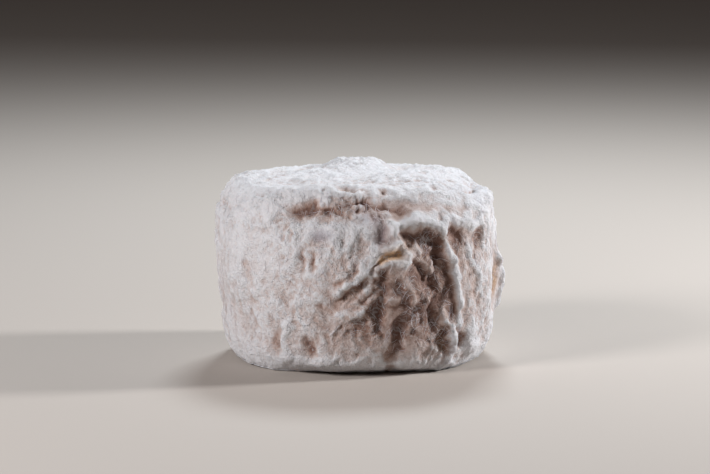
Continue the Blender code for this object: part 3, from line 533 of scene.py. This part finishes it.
def crinkled(points):
    # the finest relief of the rind, read on the shaped cheese
    seed = rind["seed"]
    fine = np.empty(len(points))
    for i, place in enumerate(vectors(points)):
        bend = drift(place / rind["fineBendSize"])
        crinkle = ridged((place + rind["crinkleBend"] * bend) / rind["crinkleSize"] - 2 * seed)
        grain = ridged((place + rind["grainBend"] * bend) / rind["grainSize"] + 3 * seed)
        fine[i] = rind["crinkleHeight"] * crinkle + rind["grainHeight"] * grain
    return fine


def wandered(points):
    # the points from which the modelled folds are measured, so that none runs straight
    seed = rind["seed"]
    broad, small = vectors(points / rind["wanderSize"]), vectors(points / rind["fineWanderSize"])
    wander = np.array([drift(place + 5 * seed) for place in broad])
    fine = np.array([drift(place - 4 * seed) for place in small])
    return points + rind["wander"] * wander + rind["fineWander"] * fine


def backFolds():
    # each fold runs down from its start, with a hollow beside its second point
    draw = random.Random(back["seed"])
    folds, hollows = [], []
    for i in range(back["folds"]):
        start = i + draw.uniform(*back["startShare"])
        angle = back["from"] + (back["to"] - back["from"]) * start / back["folds"]
        height = draw.uniform(*back["startHeight"])
        slant = draw.uniform(*back["slant"])
        line = [(angle, height)]
        for _ in range(draw.choice(back["steps"])):
            angle += slant * back["slantDegrees"] + draw.uniform(*back["stray"])
            height -= draw.uniform(*back["stepDown"])
            if height > back["lowest"]:
                line.append((angle, height))
        folds.append(dict(
            line=line,
            width=(draw.uniform(*back["rightWidth"]), draw.uniform(*back["leftWidth"])),
            height=draw.uniform(*back["height"]), sharp=draw.uniform(*back["sharp"]),
            lean=(draw.uniform(*back["lean"]), back["leanUp"])))
        hollows.append(dict(
            at=(line[1][0] + draw.choice(back["hollowAside"]), line[1][1]),
            size=(draw.uniform(*back["hollowWidth"]), draw.uniform(*back["hollowHeight"])),
            out=-draw.uniform(*back["hollowDepth"])))
    return folds, hollows


def tuckedIn(place, angle):
    # the lower edge drawn in at the front, the underside still flat
    degrees = np.degrees((angle + math.pi) % (2 * math.pi) - math.pi)
    facing = np.exp(-((degrees / drum["tuckDegrees"]) ** drum["tuckSharpness"]))
    low = np.clip(1 - place[:, 2] / drum["tuckHeight"], 0, 1) ** 2
    outer = np.clip(np.hypot(place[:, 0], place[:, 1]) / drum["baseRadius"], 0, 1)
    inward = np.stack([-np.sin(angle), np.cos(angle), np.zeros_like(angle)], -1)
    return place + inward * (drum["frontTuck"] * facing * low * outer)[:, None]


def lifted(place):
    # the underside's edge lifted a little outside the four-sided flat between the resting places
    turns = np.radians(drum["restsAt"])
    corners = drum["restRadius"] * np.stack([np.sin(turns), -np.cos(turns)], -1)
    outside = np.zeros(len(place))
    for a, b in zip(corners, np.roll(corners, -1, axis=0)):
        out = np.array([b[1] - a[1], a[0] - b[0]]) / np.hypot(*(b - a))
        outside = np.maximum(outside, (place[:, :2] - a) @ out)
    low = np.clip(1 - place[:, 2] / drum["liftHeight"], 0, 1)
    return place + np.outer(drum["edgeLift"] * outside * low, (0, 0, 1))


def shaped(angle, length):
    # the cheese's own surface over the plain drum's, and the stains, painted shade and painted
    # highlights on it
    point, out, around, up = onDrum(angle, length)
    relief, strong = rindRelief(point, np.clip(1 - np.abs(out[:, 2]), 0, 1))
    near = wandered(point)
    seed = rind["seed"]
    folds, hollows = backFolds()
    move = out * relief[:, None]
    uneven = np.array([noise.noise(place - seed) for place in vectors(point / rind["unevenSize"])])
    firm = np.clip(strong, rind["weakest"], rind["firmest"]) * (1 + rind["uneven"] * uneven)
    for crest in [*crests.values(), *folds]:
        gap, onLeft = distanceToLine(near, crest["line"])
        share = np.exp(-((gap / np.where(onLeft, *crest["width"][::-1])) ** crest["sharp"]))
        lean = out + crest["lean"][0] * around + crest["lean"][1] * up
        move += lean * (crest["height"] * firm * share)[:, None]
    for furrow in furrows.values():
        gap = distanceToLine(near, furrow["line"])[0]
        move -= out * (furrow["depth"] * np.exp(-((gap / furrow["width"]) ** 2)))[:, None]
    for dent in [*swellings.values(), *hollows]:
        move += out * (dent["out"] * swellingOnSide(near, dent["at"], dent["size"]))[:, None]
    for rise in topSwellings.values():
        share = swellingOnTop(near, rise["at"], rise["size"])
        move += out * (rise["out"] * share * np.clip(out[:, 2] / rind["topFacesUp"], 0, 1))[:, None]
    free = np.clip((length - sideFrom) / drum["edgeFade"], 0, 1)
    place = point + move * (free * free * (3 - 2 * free))[:, None]
    place[:, 2] = np.maximum(place[:, 2], 0)
    return lifted(tuckedIn(place, angle)), {**stainsAndShadeAt(near, out, hollows), "strong": strong}


def stainsAndShadeAt(points, out, hollows):
    # how much of each colour the stains, painted shade and painted highlights bring to each point
    found = {kind: np.zeros(len(points)) for kind in ("tan", "white", "grey", "ochre")}
    # the back's hollows, browner with depth: partly painted shade
    behind = [
        dict(at=h["at"], size=h["size"], tan=back["tan"] - back["shadeAndTanPerDepth"] * h["out"])
        for h in hollows
    ]
    shares = [(s, swellingOnSide(points, s["at"], s["size"])) for s in [*stainsAndShade.values(), *behind]]
    for s in stainAndShadeLines.values():
        shares.append((s, np.exp(-((distanceToLine(points, s["line"])[0] / s["width"]) ** 2))))
    for s in topStains.values():
        shares.append((s, swellingOnTop(points, s["at"], s["size"]) * (out[:, 2] > 0)))
    for stain, share in shares:
        for kind in found:
            found[kind] += stain.get(kind, 0) * share
    return found


def cubeToDrum(corners):
    # a cube's lower face becomes the underside, its upper face the top, and the others the side
    x, y, z = corners.T
    ring = np.maximum(np.abs(x), np.abs(y))
    facingX = np.abs(x) >= np.abs(y)
    turn = np.where(facingX, y, x) / np.maximum(ring, tiny) * math.pi / 4
    fromX = np.where(x >= 0, turn, math.pi - turn)
    fromY = np.where(y >= 0, math.pi / 2 - turn, turn - math.pi / 2)
    angle = np.where(facingX, fromX, fromY) + math.pi / 2
    length = sideFrom + (z + 1) / 2 * (sideTo - sideFrom)
    length = np.where(z < tiny - 1, ring * sideFrom, length)
    length = np.where(z > 1 - tiny, along[-1] - ring * (along[-1] - sideTo), length)
    return angle, length


def cutAlong(mesh, axis, quads):
    edges = [e for e in mesh.edges if abs(e.verts[0].co[axis] - e.verts[1].co[axis]) > 1]
    bmesh.ops.subdivide_edges(mesh, edges=edges, cuts=quads - 1, use_grid_fill=True)


def averaged(values, ends, rounds):
    # each point takes the mean of its neighbours, again and again
    count = np.bincount(ends.ravel(), minlength=len(values))
    for _ in range(rounds):
        total = np.empty_like(values)
        for k in range(values.shape[1]):
            total[:, k] = np.bincount(ends[:, 0], values[ends[:, 1], k], len(values))
            total[:, k] += np.bincount(ends[:, 1], values[ends[:, 0], k], len(values))
        values = total / count[:, None]
    return values


def readVectors(items, name, count, width=3):
    values = np.empty(count * width, np.int32 if name == "vertices" else np.float64)
    items.foreach_get(name, values)
    return values.reshape(-1, width)


def storeValues(data, name, values):
    data.attributes.new(name, "FLOAT", "POINT").data.foreach_set("value", values.astype(np.float32))


dips = {"fineRounds": 8, "broadRounds": 110}  # how wide the rind is smoothed to find its hollows


def makeCheese():
    # a cube cut into a grid, and the grid bent into the cheese
    mesh = bmesh.new()
    bmesh.ops.create_cube(mesh, size=2.0)
    cutAlong(mesh, 2, drum["quadsUp"])
    cutAlong(mesh, 0, drum["quadsPerQuarter"])
    cutAlong(mesh, 1, drum["quadsPerQuarter"])
    corners = np.array([v.co[:] for v in mesh.verts])
    places, found = shaped(*cubeToDrum(corners))
    for vert, place in zip(mesh.verts, places):
        vert.co = Vector(place.tolist()) * mm
    bmesh.ops.triangulate(mesh, faces=mesh.faces)
    data = bpy.data.meshes.new("cheeseRind")
    mesh.to_mesh(data)
    mesh.free()
    data.shade_smooth()
    ends = readVectors(data.edges, "vertices", len(data.edges), 2)
    normals = readVectors(data.vertices, "normal", len(data.vertices))

    # the finest relief stands along the bent grid's own normals
    fine = crinkled(places)
    free = np.clip((places[:, 2] - rind["fineFrom"]) / rind["fineFade"], 0, 1)
    reach = free * (rind["fineLeast"] + (1 - rind["fineLeast"]) * found["strong"]) * fine
    places += normals * reach[:, None]
    data.vertices.foreach_set("co", (places * mm).ravel())
    data.update()

    # what the material reads: how deep each point lies, which browns the hollows partly as bare
    # rind and partly as painted shade, and its stains
    smooth = averaged(places, ends, dips["fineRounds"])
    broad = averaged(smooth, ends, dips["broadRounds"])
    storeValues(data, "fineDip", ((smooth - places) * normals).sum(1))
    storeValues(data, "broadDip", ((broad - places) * normals).sum(1))
    storeValues(data, "crinkle", fine)
    for kind, values in found.items():
        storeValues(data, kind, values)
    piece = bpy.data.objects.new("cheeseRind", data)
    bpy.context.scene.collection.objects.link(piece)
    print("cheese:", len(data.vertices), "points,", len(data.polygons), "faces")
    return piece


def colour(red, green, blue):
    # an everyday 0 to 255 colour as the shader wants it
    share = [v / 255 for v in (red, green, blue)]
    return (*[v / 12.92 if v <= 0.04045 else ((v + 0.055) / 1.055) ** 2.4 for v in share], 1.0)


bloomyRind = {
    "thickMould": colour(227, 226, 229),
    "thinMould": colour(207, 193, 189),
    "paleRind": colour(180, 151, 138),
    "darkRind": colour(124, 92, 80),
    "ochre": colour(224, 186, 146),
    "grey": colour(160, 154, 164),
    # how much each thing shows of the rind under the mould, or paints shade into hollows and shaded
    # patches
    # the dips brown the colour in hollows: thin mould partly, painted shade in recesses partly
    "showFineDip": 1.2,  # per millimetre below the smoothed rind
    "showBroadDip": 0.4,
    "showTan": 0.42,
    "showCrinkle": -0.45,
    "showWhite": -0.3,
    "showBlotch": 0.8, "blotch": dict(size=3.4, detail=4),
    "showSpeck": 0.75, "speck": dict(size=1.1, detail=3, distortion=0.6),
    "thinSwing": 1.6, "thin": dict(size=0.6, detail=4, distortion=0.8),
    "calmToRough": (0.35, 1.25),
    # from where to where each colour comes in
    "thinMouldIn": (-0.4, 0.3),
    "rindIn": (0.0, 0.85),
    "darkRindIn": (0.35, 1.3),
    "greyIn": (0.1, 1.4),
    "ochreIn": (0.15, 1.1),
    # thin white strands
    "strand": dict(size=1.4, detail=2),
    "strandLength": 3.0, "strandWidth": 0.07, "strandShare": 0.5, "strandDepth": 0.12,
    "strandBendSize": 4.0, "strandBend": 6.0,
    "strandsByRough": (-0.6, 1.0), "strandsByBlotch": (0.38, 0.62),
    # bumps finer than the mesh, the depths in millimetres
    "fuzz": dict(size=0.3, detail=3, distortion=0.4), "fuzzDepth": 0.3,
    "grain": dict(size=0.85, detail=3, distortion=0.5), "grainDepth": 0.36,
    "roughness": 0.92, "rindGloss": 0.2, "glossIn": (-0.2, 0.8),
    "sheen": 0.2, "sheenRoughness": 0.5,
    "specular": 0.25,
    "softness": 0.06, "softRadius": (1.0, 0.75, 0.6), "softReach": 1.2,
}
noiseRoughness = 0.6  # how much of its strength a noise hands on to its next finer layer


def newMaterial(name):
    material = bpy.data.materials.new(name)
    material.use_nodes = True
    tree = material.node_tree
    return material, tree, tree.nodes["Principled BSDF"]


def addNode(tree, kind, inputs=(), **settings):
    node = tree.nodes.new(kind)
    for name, value in settings.items():
        setattr(node, name, value)
    for name, value in dict(inputs).items():
        if isinstance(value, bpy.types.NodeSocket):
            tree.links.new(value, node.inputs[name])
        else:
            node.inputs[name].default_value = value
    return node


def addMath(tree, operation, *values):
    return addNode(tree, "ShaderNodeMath", enumerate(values), operation=operation).outputs[0]


def addPlace(tree):
    # where on the cheese, in millimetres
    place = addNode(tree, "ShaderNodeTexCoord").outputs["Object"]
    return addNode(tree, "ShaderNodeMapping", {"Vector": place, "Scale": [1 / mm] * 3}).outputs[0]


def addNoise(tree, place, size, detail, distortion=0.0):
    return addNode(tree, "ShaderNodeTexNoise", {
        "Vector": place, "Scale": 1 / size, "Detail": detail, "Roughness": noiseRoughness,
        "Distortion": distortion,
    }).outputs["Fac"]


def addMix(tree, share, first, second):
    node = addNode(tree, "ShaderNodeMix", data_type="RGBA")
    for index, value in ((0, share), (6, first), (7, second)):  # the sockets of a mix of colours
        socket = node.inputs[index]
        if isinstance(value, bpy.types.NodeSocket):
            tree.links.new(value, socket)
        else:
            socket.default_value = value
    return node.outputs[2]


def addRange(tree, value, span, kind="SMOOTHSTEP"):
    return addNode(tree, "ShaderNodeMapRange", {
        "Value": value, "From Min": span[0], "From Max": span[1],
    }, interpolation_type=kind).outputs["Result"]


def addStored(tree, name):
    return addNode(tree, "ShaderNodeAttribute", attribute_name=name).outputs["Fac"]


def addCentred(tree, value):
    return addMath(tree, "SUBTRACT", value, 0.5)


def makeBloomyRind():
    look = bloomyRind
    material, tree, shader = newMaterial("bloomyRind")
    place = addPlace(tree)
    blotch = addNoise(tree, place, **look["blotch"])
    speck = addNoise(tree, place, **look["speck"])
    rough = addRange(tree, addStored(tree, "strong"), look["calmToRough"], "LINEAR")

    # how much of the rind shows through the mould, with painted shade in hollows and shaded patches
    show = addMath(tree, "MULTIPLY", addStored(tree, "fineDip"), look["showFineDip"])
    for kind in ("BroadDip", "Tan", "Crinkle", "White"):
        stored = addStored(tree, kind[0].lower() + kind[1:])
        show = addMath(tree, "MULTIPLY_ADD", stored, look["show" + kind], show)
    show = addMath(tree, "MULTIPLY_ADD", addCentred(tree, blotch), look["showBlotch"], show)
    speck = addMath(tree, "MULTIPLY", addCentred(tree, speck), rough)
    show = addMath(tree, "MULTIPLY_ADD", speck, look["showSpeck"], show)

    thin = addMath(tree, "MULTIPLY", addCentred(tree, addNoise(tree, place, **look["thin"])), rough)
    thin = addMath(tree, "MULTIPLY_ADD", thin, look["thinSwing"], show)
    thin = addRange(tree, thin, look["thinMouldIn"])
    mould = addMix(tree, thin, look["thickMould"], look["thinMould"])
    dark = addRange(tree, show, look["darkRindIn"])
    bare = addMix(tree, dark, look["paleRind"], look["darkRind"])
    whole = addMix(tree, addRange(tree, show, look["rindIn"]), mould, bare)
    for kind in ("grey", "ochre"):
        share = addRange(tree, addStored(tree, kind), look[kind + "In"])
        whole = addMix(tree, share, whole, look[kind])

    # thin white strands of mould run over the rind, some upwards and some across
    bend = addNode(tree, "ShaderNodeTexNoise", {
        "Vector": place, "Scale": 1 / look["strandBendSize"],
    })
    bent = addNode(tree, "ShaderNodeVectorMath", {
        0: bend.outputs["Color"], 1: [look["strandBend"]] * 3, 2: place,
    }, operation="MULTIPLY_ADD").outputs[0]
    strand = None
    drawn = 1 / look["strandLength"]
    for stretch in ((1, 1, drawn), (drawn, drawn, 1)):
        drawnOut = addNode(tree, "ShaderNodeMapping", {"Vector": bent, "Scale": stretch}).outputs[0]
        line = addCentred(tree, addNoise(tree, drawnOut, **look["strand"]))
        line = addRange(tree, addMath(tree, "ABSOLUTE", line), (look["strandWidth"] / 2, 0.0))
        strand = addMath(tree, "MAXIMUM", strand, line) if strand else line
    byRough = addRange(tree, rough, look["strandsByRough"], "LINEAR")
    byBlotch = addRange(tree, blotch, look["strandsByBlotch"])
    strand = addMath(tree, "MULTIPLY", addMath(tree, "MULTIPLY", strand, byRough), byBlotch)
    share = addMath(tree, "MULTIPLY", strand, look["strandShare"])
    whole = addMix(tree, share, whole, look["thickMould"])
    tree.links.new(whole, shader.inputs["Base Color"])

    # the mould's short fuzz and the rind's grain
    fuzz = addNoise(tree, place, **look["fuzz"])
    grain = addNoise(tree, place, **look["grain"])
    bump = None
    for height, depth in ((grain, "grainDepth"), (strand, "strandDepth"), (fuzz, "fuzzDepth")):
        inputs = {"Height": height, "Distance": look[depth] * mm, "Strength": 1.0}
        if bump:
            inputs["Normal"] = bump.outputs[0]
        bump = addNode(tree, "ShaderNodeBump", inputs)
    tree.links.new(bump.outputs[0], shader.inputs["Normal"])
    gloss = addRange(tree, show, look["glossIn"], "LINEAR")
    dull = addMath(tree, "MULTIPLY_ADD", gloss, -look["rindGloss"], look["roughness"])
    tree.links.new(dull, shader.inputs["Roughness"])
    shader.inputs["Sheen Weight"].default_value = look["sheen"]
    shader.inputs["Sheen Roughness"].default_value = look["sheenRoughness"]
    shader.inputs["Specular IOR Level"].default_value = look["specular"]
    shader.inputs["Subsurface Weight"].default_value = look["softness"]
    shader.inputs["Subsurface Radius"].default_value = look["softRadius"]
    shader.inputs["Subsurface Scale"].default_value = look["softReach"] * mm
    return material


cheese = makeCheese()
cheese.data.materials.append(makeBloomyRind())
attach(cheese, "root")
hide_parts("crottin")

# loose threads of mould lying on the rind
mouldThreads = {
    # the middle as (degrees from the front, height), half sizes (degrees, up) and how many
    "places": {
        "hollow": dict(at=(27, 15.0), size=(17.0, 11.0), count=90),
        "underArch": dict(at=(31, 25.0), size=(7.0, 2.5), count=16),
        "lowRight": dict(at=(42, 5.0), size=(9.0, 4.5), count=45),
        "underRim": dict(at=(-6, 31.0), size=(20.0, 1.8), count=50),
        "front": dict(at=(-4, 17.0), size=(16.0, 12.0), count=60),
        "right": dict(at=(60, 17.0), size=(20.0, 13.0), count=70),
        "left": dict(at=(-60, 17.0), size=(40.0, 14.0), count=60),
        "back": dict(at=(180, 17.0), size=(100.0, 14.0), count=220),
    },
    "length": (1.0, 3.6), "step": 0.3,
    "thickness": 0.07, "taper": 0.4,  # the share of its thickness that a thread loses to its ends
    "lift": (0.02, 0.1),
    "looseShare": 0.2, "looseLift": 0.4,  # some threads stand off at one end
    "slant": 0.8,  # how far from upright they run, and how they bend, in radians
    "curl": 0.1, "straying": 0.09,
    "white": colour(236, 233, 236),
    "lilac": colour(205, 196, 203),
    "patch": dict(size=1.6, detail=3), "lilacIn": (0.4, 0.65),
    "roughness": 0.75, "specular": 0.25,
    "seed": 23,
}


def threadPath(start, draw):
    # a thread's points, step by step over the rind
    look = mouldThreads
    _, spot, normal, _ = cheese.closest_point_on_mesh(start)
    way = Vector((0, 0, 1)) - normal * normal.z
    way.rotate(Quaternion(normal, draw.gauss(0, look["slant"])))
    turn = draw.uniform(-look["curl"], look["curl"])
    lift = draw.uniform(*look["lift"])
    loose = draw.random() < look["looseShare"]
    steps = round(draw.uniform(*look["length"]) / look["step"])
    path = []
    for i in range(steps + 1):
        share = i / steps
        rise = look["looseLift"] * share**3 if loose else 0
        path.append(spot + normal * (lift * math.sin(math.pi * share) + rise) * mm)
        turn += draw.uniform(-look["straying"], look["straying"])
        way = (way - normal * way.dot(normal)).normalized()
        way.rotate(Quaternion(normal, turn))
        _, spot, normal, _ = cheese.closest_point_on_mesh(spot + way * look["step"] * mm)
    return path


def makeThreadMaterial():
    look = mouldThreads
    material, tree, shader = newMaterial("mouldThreads")
    lilac = addRange(tree, addNoise(tree, addPlace(tree), **look["patch"]), look["lilacIn"])
    whole = addMix(tree, lilac, look["white"], look["lilac"])
    tree.links.new(whole, shader.inputs["Base Color"])
    shader.inputs["Roughness"].default_value = look["roughness"]
    shader.inputs["Specular IOR Level"].default_value = look["specular"]
    return material


def makeThreads():
    look = mouldThreads
    draw = random.Random(look["seed"])
    threadCurve = bpy.data.curves.new("mouldThreads", "CURVE")
    threadCurve.dimensions = "3D"
    threadCurve.bevel_depth = look["thickness"] / 2 * mm
    threadCurve.bevel_resolution = 1
    threadCurve.use_fill_caps = True
    for place in look["places"].values():
        for _ in range(place["count"]):
            spot = [middle + draw.uniform(-s, s) for middle, s in zip(place["at"], place["size"])]
            start = onSide(*spot)[0]
            path = threadPath(Vector(start.tolist()) * mm, draw)
            spline = threadCurve.splines.new("POLY")
            spline.points.add(len(path) - 1)
            for i, (point, spot) in enumerate(zip(spline.points, path)):
                point.co = (*spot, 1)
                point.radius = 1 - look["taper"] * abs(2 * i / (len(path) - 1) - 1)
    loft = bpy.data.objects.new("mouldThreadCurves", threadCurve)
    data = bpy.data.meshes.new_from_object(loft)
    bpy.data.objects.remove(loft)
    bpy.data.curves.remove(threadCurve)
    data.name = "mouldThreads"
    data.materials.clear()
    piece = bpy.data.objects.new("mouldThreads", data)
    bpy.context.scene.collection.objects.link(piece)
    print("threads:", len(data.polygons), "faces")
    return piece


bpy.context.view_layer.update()  # the threads find their way over the finished cheese
threads = makeThreads()
threads.data.materials.append(makeThreadMaterial())
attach(threads, "root")

studio = {
    "floorColour": colour(184, 175, 167),
    "floorRoughness": 0.8,
    "floorSize": 6.0,
    "aim": (0, 0, 0.018),
    "air": (1.0, 0.86, 0.8, 1.0),
    "airStrength": 0.045,
    "lights": {
        "left": dict(at=(-0.34, -0.25, 0.23), size=0.12, power=1.68, tint=(1.0, 0.985, 1.0)),
        "right": dict(at=(0.345, 0.045, 0.16), size=0.05, power=1.55, tint=(0.96, 0.975, 1.0)),
        "behind": dict(at=(0.04, 0.3, 0.33), size=0.1, power=1.3, tint=(0.86, 0.94, 1.0)),
    },
}


def makeFloor():
    mesh = bmesh.new()
    bmesh.ops.create_grid(mesh, x_segments=1, y_segments=1, size=studio["floorSize"] / 2)
    data = bpy.data.meshes.new("floor")
    mesh.to_mesh(data)
    mesh.free()
    floor = bpy.data.objects.new("floor", data)
    bpy.context.scene.collection.objects.link(floor)
    material, _, shader = newMaterial("paleFloor")
    shader.inputs["Base Color"].default_value = studio["floorColour"]
    shader.inputs["Roughness"].default_value = studio["floorRoughness"]
    data.materials.append(material)


def lookAt(piece, target):
    piece.rotation_mode = "QUATERNION"
    piece.rotation_quaternion = (Vector(target) - piece.location).to_track_quat("-Z", "Y")


def makeLights():
    for name, light in studio["lights"].items():
        data = bpy.data.lights.new(name, "AREA")
        data.size = light["size"]
        data.energy = light["power"]
        data.color = light["tint"]
        lamp = bpy.data.objects.new(name, data)
        bpy.context.scene.collection.objects.link(lamp)
        lamp.location = light["at"]
        lookAt(lamp, studio["aim"])
    world = bpy.data.worlds.new("studio")
    world.use_nodes = True
    air = world.node_tree.nodes["Background"]
    air.inputs["Color"].default_value = studio["air"]
    air.inputs["Strength"].default_value = studio["airStrength"]
    bpy.context.scene.world = world


view = {
    "degreesUp": 8.5,
    "distance": 0.65,
    "aimHeight": 0.0223,
    "axisPixel": 357.5,  # the cheese's axis, in an image 710 pixels wide
    "imageWidth": 710,
    "pixelsPerMetre": 5330,
    "sensor": 36.0,
    "nearest": 0.01,
}


def makeCamera():
    data = bpy.data.cameras.new("camera")
    data.sensor_width = view["sensor"]
    data.lens = view["pixelsPerMetre"] * view["distance"] * view["sensor"] / view["imageWidth"]
    data.clip_start = view["nearest"]
    camera = bpy.data.objects.new("camera", data)
    bpy.context.scene.collection.objects.link(camera)
    tilt = math.radians(view["degreesUp"])
    aside = (view["imageWidth"] / 2 - view["axisPixel"]) / view["pixelsPerMetre"]
    aim = Vector((aside, 0, view["aimHeight"]))
    camera.location = aim + view["distance"] * Vector((0, -math.cos(tilt), math.sin(tilt)))
    lookAt(camera, aim)
    bpy.context.scene.camera = camera


makeFloor()
makeLights()
makeCamera()
bpy.context.scene.view_settings.view_transform = "Standard"
print("studio set")
